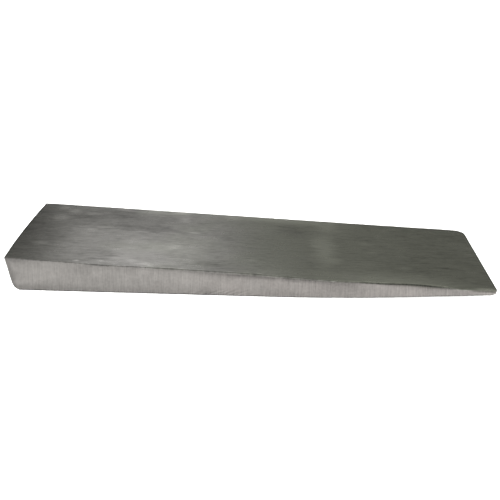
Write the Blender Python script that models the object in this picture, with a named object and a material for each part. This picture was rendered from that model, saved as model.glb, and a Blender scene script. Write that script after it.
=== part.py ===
"""A solid steel wedge, ground from one length of bar.

It is driven or slid under a load, or against a wheel, to hold it where it is.  The wedge lies on
its sole with the ramp facing up.  X runs from the thick butt to the thin tip, Y across the width
and Z up.  The origin is on the ground, under the middle of the box that holds the wedge.
Everything is in metres.
"""

import math

import bmesh
import bpy

# Driving dimensions
LENGTH = 0.241  # overall, from the middle of the crowned butt to the tip
WIDTH = 0.055
BUTT_HEIGHT = 0.020  # at the butt's two upper corners
RAMP_FALL = 0.051  # drop of the ramp for each unit of length
BUTT_CROWN = 0.001  # how far the middle of the butt stands out past its corners
HEEL_RUN = 0.0032  # the round under the butt, measured along the sole
HEEL_RISE = 0.005  # the same round, measured up the butt
RELIEF_FROM_BUTT = 0.164  # where the sole's plane would meet the plane of the tip's relief
RELIEF_RISE = 0.065  # climb of that relief towards the tip, for each unit of length
RELIEF_BLEND = 0.0345  # reach of the soft bend between the two, each way
FAR_TIP_CORNER = 0.005  # radius of the tip's corner at +Y
NEAR_TIP_CORNER = 0.0016  # radius of the tip's corner at -Y
EDGE_BREAK = 0.0003  # what a file takes off every sharp edge

# Facets
HEEL_FACETS = 8
BLEND_FACETS = 12
CROWN_FACETS = 12
FAR_CORNER_FACETS = 6
NEAR_CORNER_FACETS = 4
BREAK_SEGMENTS = 2
SHARP_ANGLE = math.radians(30)

# Finish: bare ground steel
STEEL_COLOUR = (0.42, 0.41, 0.39, 1.0)
STEEL_ROUGHNESS = 0.38
STEEL_METALLIC = 1.0

# Places worked out from the driving dimensions
TIP_X = LENGTH / 2
BUTT_CORNER_X = BUTT_CROWN - LENGTH / 2
RELIEF_X = BUTT_CORNER_X + RELIEF_FROM_BUTT
HALF_WIDTH = WIDTH / 2
CROWN_RADIUS = (HALF_WIDTH**2 + BUTT_CROWN**2) / (2 * BUTT_CROWN)


def clear_scene():
    for obj in list(bpy.data.objects):
        bpy.data.objects.remove(obj, do_unlink=True)


def steel():
    """Bare steel, shown plain here."""
    material = bpy.data.materials.new("ground_steel")
    material.use_nodes = True
    shader = material.node_tree.nodes["Principled BSDF"]
    shader.inputs["Base Color"].default_value = STEEL_COLOUR
    shader.inputs["Roughness"].default_value = STEEL_ROUGHNESS
    shader.inputs["Metallic"].default_value = STEEL_METALLIC
    return material


def ramp_height(x):
    return BUTT_HEIGHT - RAMP_FALL * (x - BUTT_CORNER_X)


def underside_height(x):
    """The sole, the soft bend after it, and the relief that climbs towards the tip."""
    into_blend = x - (RELIEF_X - RELIEF_BLEND)
    if into_blend <= 0:
        return 0.0
    if into_blend < 2 * RELIEF_BLEND:
        return RELIEF_RISE * into_blend**2 / (4 * RELIEF_BLEND)
    return RELIEF_RISE * (x - RELIEF_X)


def butt_x(y):
    """The butt is an arc in plan, from corner to corner."""
    return BUTT_CORNER_X + CROWN_RADIUS - BUTT_CROWN - math.sqrt(CROWN_RADIUS**2 - y**2)


def tip_x(y):
    """The tip is straight across, with a round at each corner."""
    radius = FAR_TIP_CORNER if y > 0 else NEAR_TIP_CORNER
    past_centre = abs(y) - (HALF_WIDTH - radius)
    if past_centre <= 0:
        return TIP_X
    return TIP_X - radius + math.sqrt(max(radius**2 - past_centre**2, 0.0))


def corner_stations(radius, facets):
    """Distances from the side face at which the facets of a tip corner meet, in equal angles."""
    angles = [math.pi / 2 * step / facets for step in range(facets + 1)]
    return [radius * (1 - math.cos(angle)) for angle in angles]


def stations():
    """The places across the width, from -Y to +Y, where the wedge's outline is drawn."""
    near = [s - HALF_WIDTH for s in corner_stations(NEAR_TIP_CORNER, NEAR_CORNER_FACETS)]
    far = [HALF_WIDTH - s for s in corner_stations(FAR_TIP_CORNER, FAR_CORNER_FACETS)]
    reach = HALF_WIDTH - FAR_TIP_CORNER
    middle = [reach * (2 * step / CROWN_FACETS - 1) for step in range(CROWN_FACETS)]
    return near + middle + far[::-1]


def outline(y):
    """The wedge's side outline at one station, as (x, z), from the butt's top round under to the tip's."""
    butt = butt_x(y)
    tip = tip_x(y)
    points = [(butt, ramp_height(butt))]
    for step in range(HEEL_FACETS + 1):
        angle = math.pi / 2 * step / HEEL_FACETS
        points.append((butt + HEEL_RUN * (1 - math.cos(angle)), HEEL_RISE * (1 - math.sin(angle))))
    for step in range(BLEND_FACETS + 1):
        x = RELIEF_X - RELIEF_BLEND + 2 * RELIEF_BLEND * step / BLEND_FACETS
        points.append((x, underside_height(x)))
    points.append((tip, underside_height(tip)))
    points.append((tip, ramp_height(tip)))
    return points


def wedge_mesh():
    """Outlines at every station, skinned one to the next and closed by the two side faces."""
    bm = bmesh.new()
    loops = [[bm.verts.new((x, y, z)) for x, z in outline(y)] for y in stations()]
    for this, following in zip(loops, loops[1:]):
        for a in range(len(this)):
            b = (a + 1) % len(this)
            bm.faces.new((this[a], this[b], following[b], following[a]))
    bm.faces.new(loops[0][::-1])
    bm.faces.new(loops[-1])
    bmesh.ops.recalc_face_normals(bm, faces=bm.faces)
    mesh = bpy.data.meshes.new("wedge_body")
    bm.to_mesh(mesh)
    bm.free()
    mesh.shade_smooth()
    mesh.set_sharp_from_angle(angle=SHARP_ANGLE)
    return mesh


def break_edges(obj):
    """A narrow round along every sharp edge."""
    bevel = obj.modifiers.new("edge_break", "BEVEL")
    bevel.width = EDGE_BREAK
    bevel.segments = BREAK_SEGMENTS
    bevel.limit_method = "ANGLE"
    bevel.angle_limit = SHARP_ANGLE


def wedge_body():
    """The whole wedge: one solid with no joints, seams or fasteners."""
    obj = bpy.data.objects.new("wedge_body", wedge_mesh())
    obj.data.materials.append(steel())
    bpy.context.scene.collection.objects.link(obj)
    break_edges(obj)
    return obj


clear_scene()
wedge_body()
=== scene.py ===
"""Looks for the steel wedge: a fine hand-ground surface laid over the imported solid, and its studio.

The frame holds one node, wedge_body.  Its plain solid is replaced here by one closed mesh of the
same size, whose faces, edges and corners have the small unevenness of hand grinding.
Everything is in metres, in the frame of the solid: +X to the tip, +Y across, +Z up.
"""

import math

import bmesh
import bpy
import numpy as np
from mathutils import Matrix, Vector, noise


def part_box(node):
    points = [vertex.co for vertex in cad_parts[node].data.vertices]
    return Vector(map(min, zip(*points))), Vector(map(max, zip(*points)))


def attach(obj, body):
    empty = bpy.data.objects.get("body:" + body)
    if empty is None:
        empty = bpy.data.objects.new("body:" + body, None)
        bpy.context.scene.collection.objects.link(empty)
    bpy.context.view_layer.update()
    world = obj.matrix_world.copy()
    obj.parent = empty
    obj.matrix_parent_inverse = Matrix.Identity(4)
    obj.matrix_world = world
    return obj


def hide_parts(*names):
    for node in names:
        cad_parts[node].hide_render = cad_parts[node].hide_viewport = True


MM = 0.001

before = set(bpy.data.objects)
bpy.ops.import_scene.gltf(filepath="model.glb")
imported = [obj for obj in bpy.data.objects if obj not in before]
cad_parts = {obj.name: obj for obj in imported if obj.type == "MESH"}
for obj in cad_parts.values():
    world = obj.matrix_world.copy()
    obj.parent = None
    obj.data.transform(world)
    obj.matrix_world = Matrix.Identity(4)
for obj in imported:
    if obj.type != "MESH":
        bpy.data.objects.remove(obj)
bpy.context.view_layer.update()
LOW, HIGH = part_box("wedge_body")

# ---------------------------------------------------------------- the solid's own sizes
BUTT_CROWN = 1.0 * MM
BUTT_X = LOW.x + BUTT_CROWN
TIP_X = HIGH.x
HALF_WIDTH = HIGH.y
RAMP_FALL = 0.051
BUTT_HEIGHT = 20.0 * MM
HEEL_RUN = 3.2 * MM
HEEL_RISE = 5.0 * MM
RELIEF_X = BUTT_X + 164 * MM
RELIEF_RISE = 0.065
RELIEF_BLEND = 34.5 * MM
FAR_TIP_CORNER = 5.0 * MM
NEAR_TIP_CORNER = 1.6 * MM

# Rounds too small for the solid to show
BUTT_CORNER = 0.25 * MM
BUTT_TOP_ROUND = 0.35 * MM
NOSE_TOP_ROUND = 0.5 * MM
NOSE_UNDER_RUN = 3.5 * MM
NOSE_UNDER_RISE = 0.7 * MM

# ---------------------------------------------------------------- the lattice that the skin is laid on
# Distances in from an edge of the box; even cells fill what is left between.
SIDE_LINES = np.array([0, 0.12, 0.24, 0.36, 0.5, 0.7, 1.0, 1.4]) * MM
UNDER_LINES = np.array([0, 0.12, 0.26, 0.42, 0.6, 0.9, 1.3, 1.8, 2.4, 3.1, 3.9, 4.8]) * MM
TOP_LINES = np.array([0, 0.12, 0.26, 0.42, 0.6, 0.85, 1.15, 1.5, 2.0, 2.6, 3.3, 4.1]) * MM
BUTT_LINES = np.array([0, 0.12, 0.24, 0.36, 0.6, 0.9, 1.3, 1.7, 2.2, 2.7, 3.2, 3.8]) * MM
TIP_LINES = np.array([0, 0.12, 0.24, 0.36, 0.5, 0.7, 1.0, 1.3, 1.6, 2.0, 2.5, 3.0, 3.5, 4.0, 4.5, 5.0]) * MM
LENGTH_CELLS = 310
WIDTH_CELLS = 72
HEIGHT_CELLS = 6
LINES_SHARE = 0.9  # the most of a thin place's height that the lines near its two faces may fill


def ramp_height(x):
    return BUTT_HEIGHT - RAMP_FALL * (x - BUTT_X)


def underside_height(x):
    """The sole, the soft bend after it, and the relief that climbs towards the tip."""
    into = np.clip(x - (RELIEF_X - RELIEF_BLEND), 0, 2 * RELIEF_BLEND)
    past = np.maximum(x - (RELIEF_X + RELIEF_BLEND), 0)
    return RELIEF_RISE * (into**2 / (4 * RELIEF_BLEND) + past)


def through(knots, x):
    """A smooth curve through (distance from the butt in mm, value) knots, for an array of places."""
    places = BUTT_X + MM * np.array([place for place, _ in knots])
    values = np.array([value for _, value in knots])
    before = np.clip(np.searchsorted(places, x) - 1, 0, len(places) - 2)
    t = np.clip((x - places[before]) / (places[before + 1] - places[before]), 0, 1)
    return values[before] + (values[before + 1] - values[before]) * t * t * (3 - 2 * t)


def lattice_lines(start, end, from_start, from_end, cells):
    """Lines from start to end: the given distances in from each end, and even cells between."""
    middle = np.linspace(start + from_start[-1], end - from_end[-1], cells + 1)[1:-1]
    return np.concatenate([start + from_start, middle, (end - from_end)[::-1]])


def height_lines(thickness):
    """Lines up from the underside, one row for each place along the wedge."""
    squeeze = np.minimum(1, LINES_SHARE * thickness / (UNDER_LINES[-1] + TOP_LINES[-1]))[:, None]
    low = UNDER_LINES[None, :] * squeeze
    high = thickness[:, None] - TOP_LINES[None, ::-1] * squeeze
    share = np.linspace(0, 1, HEIGHT_CELLS + 1)[None, 1:-1]
    middle = low[:, -1:] + (high[:, :1] - low[:, -1:]) * share
    return np.concatenate([low, middle, high], axis=1)


class Skin:
    """Every point on the outside of a lattice of boxes, and the quads between them."""

    def __init__(self, counts):
        self.counts = counts
        ni, nj, nk = counts
        i, j, k = np.meshgrid(np.arange(ni), np.arange(nj), np.arange(nk), indexing="ij")
        outside = (i == 0) | (i == ni - 1) | (j == 0) | (j == nj - 1) | (k == 0) | (k == nk - 1)
        self.index = np.full(counts, -1)
        self.index[outside] = np.arange(outside.sum())
        self.i, self.j, self.k = i[outside], j[outside], k[outside]

    def quads(self, axis, end):
        """The quads of one side: axis 0, 1 or 2, at its first (0) or last (-1) layer, facing out."""
        grid = np.take(self.index, end, axis=axis)
        faces = np.stack([grid[:-1, :-1], grid[1:, :-1], grid[1:, 1:], grid[:-1, 1:]], axis=-1)
        faces = faces.reshape(-1, 4)
        # A grid across the middle axis is the other way round from one across either of the others.
        return faces if (end == 0) == (axis == 1) else faces[:, ::-1]


def round_corner(p, q, radius_p, radius_q):
    """Turns square corners into round ones.

    p and q are distances in from a corner's two sides.  Inside the corner's own rectangle each
    square ring round its centre becomes an arc, so that a line keeps its distance from the surface.
    """
    in_p = 1 - p / radius_p
    in_q = 1 - q / radius_q
    inside = (in_p > 0) & (in_q > 0)
    ring = np.maximum(in_p, in_q)
    length = np.where(inside, np.hypot(in_p, in_q), 1)
    new_p = radius_p * (1 - ring * in_p / length)
    new_q = radius_q * (1 - ring * in_q / length)
    return np.where(inside, new_p, p), np.where(inside, new_q, q)


# ---------------------------------------------------------------- unevenness left by hand grinding, and the painted shade and reflection along the edges
# Each pair is a distance from the butt, in mm, and a value there.
# How far the near upper edge sways in over the wedge, as a share of SWAY_SIZE.
NEAR_EDGE_SWAY = [
    (0, 0.4), (19, 0.1), (47, -0.4), (68, 0.0), (90, 0.3), (117, 0.5), (139, -0.1), (162, -0.75),
    (180, -0.1), (200, 0.75), (206, 0.75), (213, 0.3), (222, -0.8), (232, -0.3), (240, 0.0),
]
# The round on each long edge, in mm: its run in over the ramp or the sole, and its reach down or up the side.
NEAR_TOP_RUN = [
    (0, 0.35), (40, 0.4), (90, 0.55), (150, 0.6), (185, 1.0), (206, 1.05), (215, 0.75), (222, 0.9),
    (232, 2.4), (240, 2.4),
]
NEAR_TOP_REACH = [
    (0, 3.2), (14, 2.6), (30, 1.6), (56, 1.6), (68, 2.6), (80, 1.8), (108, 3.6), (150, 3.4),
    (170, 1.8), (185, 1.6), (208, 1.9), (222, 2.6), (232, 3.4), (240, 3.0),
]
FAR_TOP_RUN = [(0, 0.25), (70, 0.3), (150, 0.4), (240, 0.35)]
FAR_TOP_REACH = [(0, 0.6), (240, 0.9)]
UNDER_RUN = [(0, 0.4), (90, 0.35), (170, 0.5), (240, 0.4)]
UNDER_REACH = [(0, 0.9), (150, 0.7), (240, 0.5)]
# How much lighter or darker the upper edges are painted, as a painted reflection along their rounds, and how
# much painted shade, turning to painted light near the tip, lies on the band of the near side below its edge.
NEAR_EDGE_REFLECTION = [
    (0, 0.1), (15, 0.1), (36, 0.3), (47, -0.25), (56, 0.05), (76, 0.25), (96, 0.2), (115, 0.1),
    (128, 0.15), (140, -0.3), (154, -0.3), (168, -0.1), (184, -0.6), (206, -0.7), (213, -0.35),
    (224, 0.1), (232, 0.7), (240, 0.7),
]
FAR_EDGE_REFLECTION = [(0, -0.4), (50, -0.1), (140, -0.1), (165, -0.6), (240, -0.6)]
# Painted reflection: the edges round the two ends are painted darker.
END_EDGE_REFLECTION = -0.35
# Painted shade below the near edge, darkest in the middle, and painted light near the tip.
NEAR_BAND_SHADING = [
    (0, -0.3), (16, 0), (60, -0.1), (76, 0), (96, -0.2), (115, -0.35), (146, -0.35), (170, -0.15),
    (190, 0), (224, 0), (233, 0.25), (240, 0.25),
]

# Below this part of the thickness a point belongs to the lower edges.
TOP_SHARE = 0.3
# The most that an edge's round may fill of its own part of the thickness.
ROUND_SHARE = 0.9
# The painted dark line of shade on the lower edges dies away up the butt's corners this fast, and the
# corners' own painted line dies away as fast below this part of the thickness.
CORNER_FADE = 0.2
CORNER_FOOT = 0.4

CROWN_FADE = 20 * MM  # how far along the wedge the butt's crown moves the lattice
SWAY_SIZE = 1.2 * MM
UNEVENNESS = 0.05 * MM
RAMP_GRAIN = (45 * MM, 16 * MM, 1)
SIDE_GRAIN = (9 * MM, 1, 12 * MM)
ROUND_FLUTTER = 0.3  # how much a long edge's round changes in size from place to place
FLUTTER_GRAIN = (4 * MM, 0.37, 0.41)  # the last two only give each of the four edges its own changes


def uneven(x, y, z, grain, seed):
    """Smooth noise of about -1 to 1 with bumps of the given size along each axis."""
    places = zip(x / grain[0] + seed, y / grain[1] - seed, z / grain[2])
    return np.array([noise.noise(place) for place in places])


def edge_rounds(x, near, top):
    """The run and the reach of the round on the nearest long edge."""
    run = np.where(near, through(NEAR_TOP_RUN, x), through(FAR_TOP_RUN, x))
    reach = np.where(near, through(NEAR_TOP_REACH, x), through(FAR_TOP_REACH, x))
    side, level = np.where(near, -1.0, 1.0), np.where(top, 1.0, 0.0)
    flutter = MM * (1 + ROUND_FLUTTER * uneven(x, side, level, FLUTTER_GRAIN, seed=3.7))
    return (
        np.where(top, run, through(UNDER_RUN, x)) * flutter,
        np.where(top, reach, through(UNDER_REACH, x)) * flutter,
    )


def edge_measures_and_shading(x, up, thick, from_end, from_side, near):
    """What the finishes need to know of the edges near each point: distances, and the painted reflection and
    painted shade along them.
    """
    second_nearest = np.sort(np.stack([from_end, from_side, thick - up]), axis=0)[1]
    long_edge_reflection = np.where(near, through(NEAR_EDGE_REFLECTION, x), through(FAR_EDGE_REFLECTION, x))
    return {
        "to_top_edge": second_nearest + CORNER_FADE * np.maximum(CORNER_FOOT * thick - up, 0),
        "to_low_edge": np.maximum(from_side, np.minimum(up, from_end)) + CORNER_FADE * up,
        "edge_reflection": np.where(from_side < from_end, long_edge_reflection, END_EDGE_REFLECTION),
        "band_shading": np.where(near, through(NEAR_BAND_SHADING, x), 0),
    }


def rounded(x, thick, from_end, from_side, from_face, near, top, butt):
    """Moves the distances in from three faces to where they are once every edge is rounded.

    The long edges come first, then the upright corners, then the rounds across the butt and the tip.
    """
    run, reach = edge_rounds(x, near, top)
    reach = np.minimum(reach, ROUND_SHARE * thick * np.where(top, 1 - TOP_SHARE, TOP_SHARE))
    from_side, from_face = round_corner(from_side, from_face, run, reach)
    radius = np.where(butt, BUTT_CORNER, np.where(near, NEAR_TIP_CORNER, FAR_TIP_CORNER))
    from_end, from_side = round_corner(from_end, from_side, radius, radius)
    butt_run = np.where(top, BUTT_TOP_ROUND, HEEL_RUN)
    butt_rise = np.where(top, BUTT_TOP_ROUND, HEEL_RISE)
    tip_run = np.where(top, NOSE_TOP_ROUND, NOSE_UNDER_RUN)
    tip_rise = np.where(top, NOSE_TOP_ROUND, NOSE_UNDER_RISE)
    run, rise = np.where(butt, butt_run, tip_run), np.where(butt, butt_rise, tip_rise)
    from_end, from_face = round_corner(from_end, from_face, run, rise)
    return from_end, from_side, from_face


def wedge_points(skin):
    """The finished place of every point, and the edge distances and painted edge shading near it."""
    lines_x = lattice_lines(BUTT_X, TIP_X, BUTT_LINES, TIP_LINES, LENGTH_CELLS)
    lines_y = lattice_lines(-HALF_WIDTH, HALF_WIDTH, SIDE_LINES, SIDE_LINES, WIDTH_CELLS)
    thickness = ramp_height(lines_x) - underside_height(lines_x)
    lines_z = height_lines(thickness)
    x, y, up = lines_x[skin.i], lines_y[skin.j], lines_z[skin.i, skin.k]
    thick = thickness[skin.i]

    near, top, butt = y < 0, up / thick > TOP_SHARE, x < 0
    from_end = np.where(butt, x - BUTT_X, TIP_X - x)
    from_side = HALF_WIDTH - np.abs(y)
    from_face = np.where(top, thick - up, up)
    edges_and_shading = edge_measures_and_shading(x, up, thick, from_end, from_side, near)

    from_end, from_side, from_face = rounded(x, thick, from_end, from_side, from_face, near, top, butt)
    y = np.where(near, -1, 1) * (HALF_WIDTH - from_side)
    x = np.where(butt, BUTT_X + from_end, TIP_X - from_end)
    share = np.where(top, thick - from_face, from_face) / thick

    crown = BUTT_CROWN * (1 - (y / HALF_WIDTH) ** 2)
    x = x - crown * np.clip(1 - (x - BUTT_X) / CROWN_FADE, 0, 1) ** 2
    low, high = underside_height(x), ramp_height(x)
    z = low + (high - low) * share

    # The near side's upper edge sways, and the ramp and the two sides are only nearly flat.
    across = np.clip(0.5 - y / (2 * HALF_WIDTH), 0, 1)
    y = y + SWAY_SIZE * through(NEAR_EDGE_SWAY, x) * share**2 * across**3
    z = z + UNEVENNESS * share * uneven(x, y, 0 * z, RAMP_GRAIN, seed=11.3)
    y = y + UNEVENNESS * np.sign(y) * uneven(x, np.sign(y), z, SIDE_GRAIN, seed=5.1)
    return np.stack([x, y, z], axis=1), edges_and_shading


def wedge_skin():
    """The wedge's one mesh, with a finish for each face and the edge distances and painted edge shading
    stored at its points.
    """
    counts = (
        len(BUTT_LINES) + len(TIP_LINES) + LENGTH_CELLS - 1,
        2 * len(SIDE_LINES) + WIDTH_CELLS - 1,
        len(UNDER_LINES) + len(TOP_LINES) + HEIGHT_CELLS - 1,
    )
    skin = Skin(counts)
    points, edges_and_shading = wedge_points(skin)
    sides = [(2, -1, "ramp"), (2, 0, "sole"), (1, 0, "side"), (1, -1, "side"), (0, 0, "end"), (0, -1, "end")]
    quads = [skin.quads(axis, end) for axis, end, _ in sides]
    mesh = bpy.data.meshes.new("ground_wedge")
    mesh.from_pydata(points.tolist(), [], np.concatenate(quads).tolist())
    slots = ["ramp", "sole", "side", "end"]
    numbers = np.concatenate([np.full(len(q), slots.index(name)) for q, (_, _, name) in zip(quads, sides)])
    for name in slots:
        mesh.materials.append(FINISHES[name])
    mesh.polygons.foreach_set("material_index", numbers)
    mesh.shade_smooth()
    for name, values in edges_and_shading.items():
        mesh.attributes.new(name, "FLOAT", "POINT").data.foreach_set("value", values)
    mesh.validate()
    mesh.update()
    wedge = bpy.data.objects.new("ground_wedge", mesh)
    bpy.context.scene.collection.objects.link(wedge)
    return wedge


# ---------------------------------------------------------------- finishes
class Finish:
    """A material's node tree, built up with short calls.  A value is a number or an output socket."""

    def __init__(self, name):
        self.material = bpy.data.materials.new(name)
        self.material.use_nodes = True
        self.tree = self.material.node_tree
        self.shader = self.tree.nodes["Principled BSDF"]
        self.place = self.add("ShaderNodeTexCoord").outputs["Object"]

    def add(self, kind, **settings):
        node = self.tree.nodes.new(kind)
        for key, value in settings.items():
            setattr(node, key, value)
        return node

    def join(self, source, socket):
        if isinstance(source, (int, float, tuple)):
            socket.default_value = source
        else:
            self.tree.links.new(source, socket)

    def maths(self, operation, a, b=0.0, c=0.0):
        node = self.add("ShaderNodeMath", operation=operation)
        for value, socket in zip((a, b, c), node.inputs):
            self.join(value, socket)
        return node.outputs[0]

    def total(self, values):
        result = values[0]
        for value in values[1:]:
            result = self.maths("ADD", result, value)
        return result

    def swing(self, noise_value, amount):
        """Turns 0 to 1 into an even swing about nothing."""
        return self.maths("MULTIPLY_ADD", noise_value, 2 * amount, -amount)

    def scaled(self, place, size, centre=(0, 0, 0), turn=0.0):
        """A place measured from the centre and turned, in units of size (x, y, z).

        turn is one angle about Z, or three about X, Y and Z.
        """
        moved = self.add("ShaderNodeVectorMath", operation="SUBTRACT")
        self.join(place, moved.inputs[0])
        moved.inputs[1].default_value = centre
        node = self.add("ShaderNodeMapping")
        self.join(moved.outputs[0], node.inputs["Vector"])
        node.inputs["Rotation"].default_value = turn if isinstance(turn, tuple) else (0, 0, turn)
        grow = self.add("ShaderNodeVectorMath", operation="DIVIDE")
        self.join(node.outputs[0], grow.inputs[0])
        grow.inputs[1].default_value = size
        return grow.outputs[0]

    def grain(self, size, detail=2.0, rough=0.5, turn=0.0, centre=(0, 0, 0), output=0, place=None):
        """Noise from 0 to 1 with grains of that size along each axis."""
        node = self.add("ShaderNodeTexNoise")
        self.join(self.scaled(place or self.place, size, centre, turn), node.inputs["Vector"])
        node.inputs["Scale"].default_value = 1.0
        node.inputs["Detail"].default_value = detail
        node.inputs["Roughness"].default_value = rough
        return node.outputs[output]

    def ramped(self, value, from_low, from_high, to_low=0.0, to_high=1.0, smooth=False):
        node = self.add("ShaderNodeMapRange", interpolation_type="SMOOTHSTEP" if smooth else "LINEAR")
        for socket, number in zip(node.inputs[1:5], (from_low, from_high, to_low, to_high)):
            socket.default_value = number
        self.join(value, node.inputs[0])
        return node.outputs[0]

    def patch(self, place, centre, reach, strength):
        """A soft patch, of that strength at its centre and nothing past its reach (x, y, z)."""
        ball = self.add("ShaderNodeTexGradient", gradient_type="SPHERICAL")
        self.join(self.scaled(place, reach, centre), ball.inputs[0])
        return self.ramped(ball.outputs["Fac"], 0, 1, 0, strength, smooth=True)

    def wandering(self, size, amount):
        """The place on the object, pushed about by smooth noise."""
        push = self.add("ShaderNodeVectorMath", operation="MULTIPLY_ADD")
        self.join(self.grain(size, detail=3.0, output=1), push.inputs[0])
        push.inputs[1].default_value = tuple(2 * a for a in amount)
        shift = self.add("ShaderNodeVectorMath", operation="SUBTRACT")
        self.join(self.place, shift.inputs[0])
        shift.inputs[1].default_value = amount
        self.join(shift.outputs[0], push.inputs[2])
        return push.outputs[0]

    def fanned(self, centre, spread):
        """The place on the object, with X grown by height away from the centre, so that marks lean in."""
        out = self.maths("SUBTRACT", self.axis("X"), centre)
        grown = self.maths("MULTIPLY", out, self.maths("MULTIPLY_ADD", self.axis("Z"), spread, 1.0))
        together = self.add("ShaderNodeCombineXYZ")
        for value, socket in zip((grown, self.axis("Y"), self.axis("Z")), together.inputs):
            self.join(value, socket)
        return together.outputs[0]

    def blended(self, share, first, second):
        node = self.add("ShaderNodeMix", data_type="RGBA")
        self.join(share, node.inputs["Factor"])
        self.join(first, node.inputs[6])
        self.join(second, node.inputs[7])
        return node.outputs[2]

    def brightened(self, colour, factor):
        node = self.add("ShaderNodeVectorMath", operation="SCALE")
        self.join(colour, node.inputs[0])
        self.join(factor, node.inputs["Scale"])
        return node.outputs[0]

    def bumped(self, height, depth):
        """A bump of the given depth for each 1 of height."""
        node = self.add("ShaderNodeBump")
        node.inputs["Distance"].default_value = depth
        self.join(height, node.inputs["Height"])
        return node.outputs[0]

    def tangent(self, axis):
        """A fixed direction in the object, for the stretch of the shine."""
        turn = self.add("ShaderNodeVectorTransform", vector_type="VECTOR")
        turn.convert_from = "OBJECT"
        turn.convert_to = "WORLD"
        turn.inputs[0].default_value = axis
        self.join(turn.outputs[0], self.shader.inputs["Tangent"])

    def axis(self, name):
        """One coordinate of the place on the object."""
        apart = self.add("ShaderNodeSeparateXYZ")
        self.join(self.place, apart.inputs[0])
        return apart.outputs[name]

    def stored(self, name):
        """A value that the mesh keeps at its points."""
        return self.add("ShaderNodeAttribute", attribute_name=name).outputs["Fac"]


COOL_STEEL = (0.424, 0.411, 0.408, 1)
WARM_STEEL = (0.412, 0.413, 0.382, 1)
SIDE_COOL = (0.470, 0.456, 0.440, 1)
SIDE_WARM = (0.485, 0.462, 0.446, 1)
# The steel drifts from its cool to its warm colour between these places along the wedge, more or less.
COOL_UNTIL = -60 * MM
WARM_FROM = 20 * MM
HUE_WANDER = 80 * MM

# Layers of scratches, from the finest to the broadest: pitch, length and depth of tone.
RAMP_STREAKS = [(0.25 * MM, 4 * MM, 0.20), (0.8 * MM, 5 * MM, 0.26), (0.9 * MM, 16 * MM, 0.18),
                (2.4 * MM, 7 * MM, 0.24), (1.1 * MM, 1.8 * MM, 0.12)]
SIDE_STREAKS = [(0.2 * MM, 8 * MM, 0.18), (0.45 * MM, 9 * MM, 0.18), (1.6 * MM, 14 * MM, 0.07),
                (1.2 * MM, 1.4 * MM, 0.16)]
STREAK_TURNS = (0.0, 1.2, -0.9, 0.5, 0.0)  # each layer's own turn, in degrees
FAN_CENTRE = 8 * MM  # where along the wedge its upright scratches stand straight
SCRATCH_DEPTH = 0.03 * MM
SCRATCH_ROUGHNESS = -0.3
CLOUD_ROUGHNESS = -0.10

# An edge's painted line, painted shade on the lower edges and painted reflection on the others: where it
# starts to fade and where it ends, in from the edge.
LOW_LINE = (0.3 * MM, 1.2 * MM)
TOP_LINE = (0.2 * MM, 0.9 * MM)
# Painted shade: how much darker the lower edges are painted.
LOW_LINE_SHADE = -0.6
TOP_LINE_GRAIN = (2 * MM, 9 * MM, 9 * MM)
TOP_LINE_SWING = 0.5

# Soft patches and small scuffs on the ramp, partly the steel's own lighter and darker ground and rubbed
# places and partly painted
# reflections and painted highlights: distances in mm from the butt and from the near side, reach along and
# across in mm, and strength.
RAMP_PATCHES_AND_REFLECTIONS = [
    # broad changes of tone, mostly painted reflections: darker by the butt, painted highlights in the middle
    # and near the tip
    (-2, 28, 34, 70, -0.47),
    (118, 24, 26, 44, -0.10),
    (178, 28, 40, 50, 0.08),
    (62, 13, 44, 19, 0.32),
    (62, 44, 56, 10, -0.24),
    (56, 35.5, 46, 5.5, -0.22),
    (56, 30, 36, 3.5, 0.06),
    (158, 26, 10, 26, 0.41),
    # towards the far edge
    (27, 44, 16, 9, -0.26),
    (45, 50, 20, 8, -0.20),
    (30, 53, 34, 8, -0.14),
    (66, 53, 18, 6, 0.16),
    (130, 54, 38, 7, 0.34),
    (120, 55, 12, 6, 0.14),
    (154, 54, 34, 9, 0.36),
    (124, 42, 16, 8, 0.08),
    (142, 42, 10, 11, -0.19),
    (161, 48, 11, 7, 0.30),
    (167, 44, 12, 8, 0.12),
    (236, 55, 26, 14, -0.12),
    # in the middle
    (32, 22, 14, 20, 0.12),
    (47, 14, 10, 18, -0.12),
    (80, 19, 6, 5, 0.28),
    (76, 15, 5, 2.5, 0.14),
    (73, 12, 14, 8, -0.10),
    (68, 32, 20, 4.5, -0.20),
    (100, 33, 16, 8, -0.13),
    (163, 16, 7, 4, 0.16),
    (177, 13, 20, 8, 0.11),
    # along the near edge
    (20, 4, 8, 4, 0.12),
    (32, 4, 18, 2, 0.14),
    (66, 4, 18, 3, 0.10),
    (98, 4, 26, 11, -0.22),
    (132, 3, 16, 5, 0.10),
    (190, 2, 56, 10, 0.55),
    (236, 0.4, 16, 2.8, 0.45),
]
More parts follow.
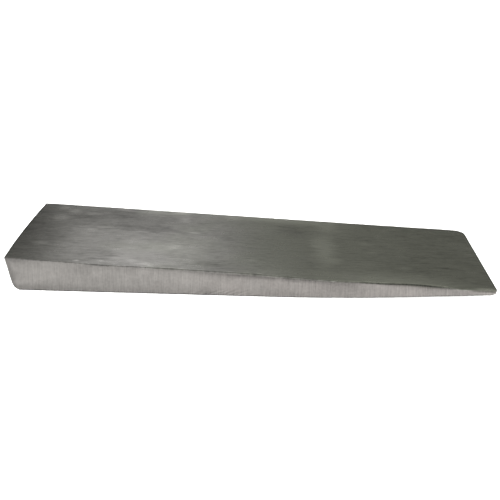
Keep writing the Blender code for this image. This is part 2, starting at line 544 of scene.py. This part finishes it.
# Small scuffs, partly real scuffs and partly painted glints.
RAMP_SCUFFS_AND_GLINTS = [
    (19.5, 48, 6, 3.6, 0.34),
    (30, 46.5, 7, 3, 0.34),
    (12, 52, 6, 4, 0.36),
    (14, 40, 8, 6, 0.28),
    (46, 53, 9, 2.4, 0.30),
    (64, 54, 7, 2, 0.30),
    (79, 53.3, 8, 2.4, 0.60),
    (82, 47, 5, 5, 0.36),
    (108, 52, 7, 4, 0.24),
    (39, 33.6, 8, 1.4, 0.34),
    (34, 30.5, 5, 1.3, 0.30),
    (61, 31.2, 6, 1.3, 0.40),
    (75, 31.8, 9, 1.0, 0.34),
    (88.5, 33.6, 5, 1.4, 0.46),
    (12, 15, 6, 3.0, 0.26),
    (35, 1.9, 2.5, 1.0, 0.60),
    (47, 2.9, 2.5, 1.1, 0.50),
    (43, 4.6, 8, 0.9, -0.36),
    (50, 8, 8, 1.2, -0.26),
    (53, 6.2, 6, 1.3, 0.28),
    (62, 5.2, 6, 1.5, 0.24),
    (68, 2.8, 6, 1.6, 0.40),
    (71, 1.6, 3, 0.8, 0.40),
    (120, 12, 5, 0.9, 0.25),
    (164, 53, 6, 1.6, 0.30),
    (181, 34, 6, 3, 0.22),
    (183, 26, 5, 1.0, 0.26),
    (198, 14, 5, 1.6, 0.22),
    (204, 8, 6, 2.5, 0.18),
    (218, 16, 7, 1.1, -0.24),
]
# Their outlines are made ragged: the grain of the noise that pushes them about, and how far it pushes.
PATCH_PUSH = ((10 * MM, 1.8 * MM, 10 * MM), (7 * MM, 1 * MM, 0))
SCUFF_PUSH = ((3 * MM, 1.2 * MM, 10 * MM), (2 * MM, 0.3 * MM, 0))
ENDLESS = 1  # a reach in metres, so long that it doesn't count

# Patches on the sides: distances in mm from the butt and up from the ground, reach along and up, strength.
SIDE_PATCHES = [
    (168, 6, 14, 12, -0.08),
    (194, 7, 26, 14, 0.12),
]
# Slanting file marks, low in the middle of the near side's length.
FILE_MARKS_CENTRE = (BUTT_X + 106 * MM, -HALF_WIDTH, 1.5 * MM)
FILE_MARKS_REACH = (26 * MM, ENDLESS, 5 * MM)
FILE_MARK_GRAIN = (7 * MM, 7 * MM, 0.9 * MM)
FILE_MARK_SLANT = math.radians(28)
FILE_MARK_SWING = 0.6
# The painted bands of shade along a side's top and foot: where each starts to fade and where it ends.
TOP_BAND = (0.8 * MM, 4.0 * MM)
FOOT_BAND = (0.5 * MM, 6.5 * MM)
# Painted shade: the side's foot is painted darker, most at the butt.
FOOT_SHADE = -0.28  # at the butt; there is none left at the tip


def ramp_marks_and_reflections(f):
    """The ramp's patches and scuffs, partly its own tone and partly painted reflections and highlights, added
    to its brightness.
    """
    marks = []
    for push, patches in ((PATCH_PUSH, RAMP_PATCHES_AND_REFLECTIONS), (SCUFF_PUSH, RAMP_SCUFFS_AND_GLINTS)):
        place = f.wandering(*push)
        for along, across, reach_x, reach_y, strength in patches:
            centre = (BUTT_X + along * MM, across * MM - HALF_WIDTH, 0)
            marks.append(f.patch(place, centre, (reach_x * MM, reach_y * MM, ENDLESS), strength))
    return marks


def side_marks_and_shade(f):
    """The sides' patches, file marks and painted bands of shade along top and foot, added to their
    brightness.
    """
    marks = []
    for along, up, reach_x, reach_z, strength in SIDE_PATCHES:
        centre = (BUTT_X + along * MM, -HALF_WIDTH, up * MM)
        marks.append(f.patch(f.place, centre, (reach_x * MM, ENDLESS, reach_z * MM), strength))
    where = f.patch(f.place, FILE_MARKS_CENTRE, FILE_MARKS_REACH, 1.0)
    strokes = f.grain(FILE_MARK_GRAIN, detail=1.0, turn=(0, FILE_MARK_SLANT, 0))
    marks.append(f.maths("MULTIPLY", where, f.swing(strokes, FILE_MARK_SWING)))
    # Painted shade, and painted light near the tip, in the band below the near edge.
    top_band = f.ramped(f.stored("to_top_edge"), *TOP_BAND, 1.0, 0.0, smooth=True)
    marks.append(f.maths("MULTIPLY", top_band, f.stored("band_shading")))
    # Painted shade along the foot of the side.
    foot_band = f.ramped(f.axis("Z"), *FOOT_BAND, 1.0, 0.0, smooth=True)
    marks.append(f.maths("MULTIPLY", foot_band, f.ramped(f.axis("X"), BUTT_X, TIP_X, FOOT_SHADE, 0.0)))
    return marks


def no_marks(_finish):
    return []


def scratches(f, across, streaks, lean, spread, depth):
    """Layers of fine scratches, as one swing of tone about nothing."""
    place = f.fanned(FAN_CENTRE, spread) if spread else f.place
    layers = []
    for number, (pitch, run, weight) in enumerate(streaks):
        size = (pitch, run, run) if across == "x" else (run, pitch, run)
        turn = math.radians(lean + STREAK_TURNS[number])
        # A centre of its own gives each layer its own pattern.
        centre = (number, 2 * number, 0)
        streak = f.grain(size, detail=2.0, rough=0.55, turn=turn, centre=centre, place=place)
        layers.append(f.swing(streak, weight))
    return f.maths("MULTIPLY", f.total(layers), f.ramped(f.axis("X"), BUTT_X, TIP_X, *depth))


def painted_edge_lines(f):
    """The painted dark line of shade on the lower edges, and the painted reflection, lighter or darker, along
    the others.
    """
    low_line = f.ramped(f.stored("to_low_edge"), *LOW_LINE, LOW_LINE_SHADE, 0.0, smooth=True)
    tone = f.total([f.stored("edge_reflection"), f.swing(f.grain(TOP_LINE_GRAIN), TOP_LINE_SWING)])
    top_line = f.ramped(f.stored("to_top_edge"), *TOP_LINE, 1.0, 0.0, smooth=True)
    return [low_line, f.maths("MULTIPLY", top_line, tone)]


def ground_steel(name, across, colours, roughness, stretch, streaks, cloud_size, cloud_depth,
                 marks=no_marks, lean=0.0, spread=0.0, depth=(1.0, 1.0)):
    """Bare steel with scratches that run one way.

    across is "x" where one scratch follows the next along the wedge's length, and "y" across its width.
    colours are the cool and the warm steel, and stretch is how far the scratches pull the shine out.
    lean turns the scratches about Z, in degrees, and spread fans upright ones out towards the ends.
    depth is how strong they are at the butt and at the tip.
    """
    f = Finish(name)
    lines = scratches(f, across, streaks, lean, spread, depth)
    clouds = f.grain(cloud_size, detail=4.0, rough=0.6, centre=(0.3, 0.1, 0.2))
    drift = f.grain(tuple(2 * size for size in cloud_size), detail=1.0, centre=(0.7, 0.4, 0.1))
    along = f.maths("ADD", f.axis("X"), f.swing(drift, HUE_WANDER))
    colour = f.blended(f.ramped(along, COOL_UNTIL, WARM_FROM), *colours)
    # The brightness carries the painted shade and reflection along the edges and the painted parts of the
    # marks.
    tone = f.total([1.0, lines, f.swing(clouds, cloud_depth)] + painted_edge_lines(f) + marks(f))
    f.join(f.brightened(colour, tone), f.shader.inputs["Base Color"])
    polish = [f.swing(clouds, CLOUD_ROUGHNESS), f.maths("MULTIPLY", lines, SCRATCH_ROUGHNESS)]
    f.join(f.total([roughness] + polish), f.shader.inputs["Roughness"])

    f.shader.inputs["Metallic"].default_value = 1.0
    f.shader.inputs["Anisotropic"].default_value = stretch
    f.tangent((1, 0, 0) if across == "x" else (0, 1, 0))
    f.join(f.bumped(lines, SCRATCH_DEPTH), f.shader.inputs["Normal"])
    return f.material


FINISHES = {
    "ramp": ground_steel(
        "ramp_steel", "y", (COOL_STEEL, WARM_STEEL), roughness=0.33, stretch=0.6, streaks=RAMP_STREAKS,
        cloud_size=(14 * MM, 8 * MM, 14 * MM), cloud_depth=0.28, marks=ramp_marks_and_reflections, lean=-4.6,
        depth=(1.0, 0.9),
    ),
    "sole": ground_steel(
        "sole_steel", "y", (COOL_STEEL, WARM_STEEL), roughness=0.40, stretch=0.6, streaks=RAMP_STREAKS,
        cloud_size=(14 * MM, 8 * MM, 14 * MM), cloud_depth=0.30,
    ),
    "side": ground_steel(
        "side_steel", "x", (SIDE_COOL, SIDE_WARM), roughness=0.38, stretch=0.4, streaks=SIDE_STREAKS,
        cloud_size=(12 * MM, 12 * MM, 7 * MM), cloud_depth=0.18, marks=side_marks_and_shade, spread=2.1,
        depth=(0.9, 1.25),
    ),
    "end": ground_steel(
        "end_steel", "y", (COOL_STEEL, WARM_STEEL), roughness=0.38, stretch=0.4, streaks=RAMP_STREAKS,
        cloud_size=(9 * MM, 9 * MM, 6 * MM), cloud_depth=0.3,
    ),
}


# ---------------------------------------------------------------- the studio
FLOOR_RADIUS = 2.5
SWEEP_RADIUS = 1.2
WALL_HEIGHT = 4.0
SWEEP_STEPS = 12
SWEEP_SIDES = 96
FLOOR_GRAIN = 0.3
FLOOR_TONES = ((0.92, 0.92, 0.92, 1), (0.94, 0.94, 0.94, 1))
PANEL_DISTANCE = 1.2


def sweep_mesh():
    """A round floor, a quarter-round sweep about it and a wall, facing in."""
    angles = np.linspace(0, math.pi / 2, SWEEP_STEPS)
    radii = np.concatenate([FLOOR_RADIUS + SWEEP_RADIUS * np.sin(angles), [FLOOR_RADIUS + SWEEP_RADIUS]])
    heights = np.concatenate([SWEEP_RADIUS * (1 - np.cos(angles)), [WALL_HEIGHT]])
    turns = [2 * math.pi * side / SWEEP_SIDES for side in range(SWEEP_SIDES)]
    bm = bmesh.new()
    rings = []
    for radius, height in zip(radii, heights):
        rings.append([bm.verts.new((radius * math.cos(a), radius * math.sin(a), height)) for a in turns])
    bm.faces.new(rings[0])
    for low, high in zip(rings, rings[1:]):
        for a in range(SWEEP_SIDES):
            b = (a + 1) % SWEEP_SIDES
            bm.faces.new((low[b], low[a], high[a], high[b]))
    mesh = bpy.data.meshes.new("floor")
    bm.to_mesh(mesh)
    bm.free()
    mesh.shade_smooth()
    return mesh


def floor():
    """A plain pale floor.  The steel doesn't mirror it: it mirrors the even tones of the world."""
    f = Finish("pale_floor")
    mottle = f.grain((FLOOR_GRAIN, FLOOR_GRAIN, FLOOR_GRAIN), detail=2.0)
    f.join(f.blended(mottle, *FLOOR_TONES), f.shader.inputs["Base Color"])
    f.shader.inputs["Roughness"].default_value = 0.9
    f.shader.inputs["Specular IOR Level"].default_value = 0.1
    mesh = sweep_mesh()
    mesh.materials.append(f.material)
    sweep = bpy.data.objects.new("floor", mesh)
    sweep.visible_glossy = False
    sweep.visible_shadow = False
    bpy.context.scene.collection.objects.link(sweep)


def sun(name, energy, softness, tilt_x, tilt_y):
    """A soft light that only the floor takes.  Softness and tilts are in degrees."""
    data = bpy.data.lights.new(name, "SUN")
    data.energy = energy
    data.angle = math.radians(softness)
    light = bpy.data.objects.new(name, data)
    light.rotation_euler = (math.radians(tilt_x), math.radians(tilt_y), 0)
    light.visible_glossy = False
    bpy.context.scene.collection.objects.link(light)


def panel(name, azimuth, elevation, width, height, radiance):
    """A soft box for the ramp to mirror.  Angles are in degrees, azimuth from +Y to +X."""
    data = bpy.data.lights.new(name, "AREA")
    data.shape = "RECTANGLE"
    data.size = 2 * PANEL_DISTANCE * math.tan(math.radians(width / 2))
    data.size_y = 2 * PANEL_DISTANCE * math.tan(math.radians(height / 2))
    data.energy = radiance * math.pi * data.size * data.size_y
    light = bpy.data.objects.new(name, data)
    turn, lift = math.radians(azimuth), math.radians(elevation)
    light.location = (
        PANEL_DISTANCE * math.sin(turn) * math.cos(lift),
        PANEL_DISTANCE * math.cos(turn) * math.cos(lift),
        PANEL_DISTANCE * math.sin(lift),
    )
    light.rotation_euler = light.location.to_track_quat("Z", "Y").to_euler()
    bpy.context.scene.collection.objects.link(light)


def studio_light():
    sun("overhead", energy=2.2, softness=60, tilt_x=10, tilt_y=-5)
    sun("front_fill", energy=7.0, softness=40, tilt_x=68, tilt_y=0)
    panel("low_panel", azimuth=-17, elevation=46, width=22, height=26, radiance=0.50)
    panel("high_panel", azimuth=-17, elevation=64, width=29, height=16, radiance=1.65)


# What the steel mirrors in each direction, by the direction's height from -1, straight down, to 1.
GROUND_COLOUR = (1.0, 0.985, 0.965)
ROOM_COLOUR = (0.98, 1.0, 0.89)
GROUND_RADIANCE = [(-1.0, 0.25), (-0.78, 0.70), (-0.55, 0.84), (-0.30, 0.68), (-0.05, 0.45)]
ROOM_RADIANCE = [(0.08, 0.42), (0.30, 0.192), (0.72, 0.192), (1.0, 0.42)]


def surroundings():
    """Pale ground, dimmer under the wedge and far away, and a room that is dimmest half way up."""
    world = bpy.data.worlds.new("studio")
    bpy.context.scene.world = world
    world.use_nodes = True
    tree = world.node_tree
    height = tree.nodes.new("ShaderNodeSeparateXYZ")
    tree.links.new(tree.nodes.new("ShaderNodeTexCoord").outputs["Generated"], height.inputs[0])
    share = tree.nodes.new("ShaderNodeMapRange")
    share.inputs["From Min"].default_value = -1.0
    tree.links.new(height.outputs["Z"], share.inputs["Value"])
    shades = tree.nodes.new("ShaderNodeValToRGB")
    shades.color_ramp.interpolation = "EASE"
    stops = shades.color_ramp.elements
    stops.remove(stops[1])
    for radiances, colour in ((GROUND_RADIANCE, GROUND_COLOUR), (ROOM_RADIANCE, ROOM_COLOUR)):
        for place, radiance in radiances:
            stop = stops[0] if place == -1 else stops.new((place + 1) / 2)
            stop.color = tuple(radiance * part for part in colour) + (1,)
    tree.links.new(share.outputs[0], shades.inputs[0])
    tree.links.new(shades.outputs["Color"], tree.nodes["Background"].inputs["Color"])


# The camera's place, and its angles in degrees: to the left, below level and about its own line of sight.
CAMERA_PLACE = (8.55 * MM, -219.0 * MM, 159.3 * MM)
CAMERA_YAW = 2.422
CAMERA_DIP = 34.366
CAMERA_ROLL = 0.053
CAMERA_LENS = 35.74


def camera():
    data = bpy.data.cameras.new("camera")
    data.lens = CAMERA_LENS
    data.sensor_width = 36
    data.clip_start = 0.01
    data.clip_end = 30
    eye = bpy.data.objects.new("camera", data)
    eye.location = CAMERA_PLACE
    yaw, tilt, roll = (math.radians(angle) for angle in (CAMERA_YAW, 90 - CAMERA_DIP, CAMERA_ROLL))
    turn = Matrix.Rotation(yaw, 3, "Z") @ Matrix.Rotation(tilt, 3, "X") @ Matrix.Rotation(roll, 3, "Z")
    eye.rotation_euler = turn.to_euler()
    bpy.context.scene.collection.objects.link(eye)
    bpy.context.scene.camera = eye


camera()
wedge = wedge_skin()
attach(wedge, "root")
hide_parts("wedge_body")
floor()
studio_light()
surroundings()
bpy.context.scene.view_settings.view_transform = "Standard"
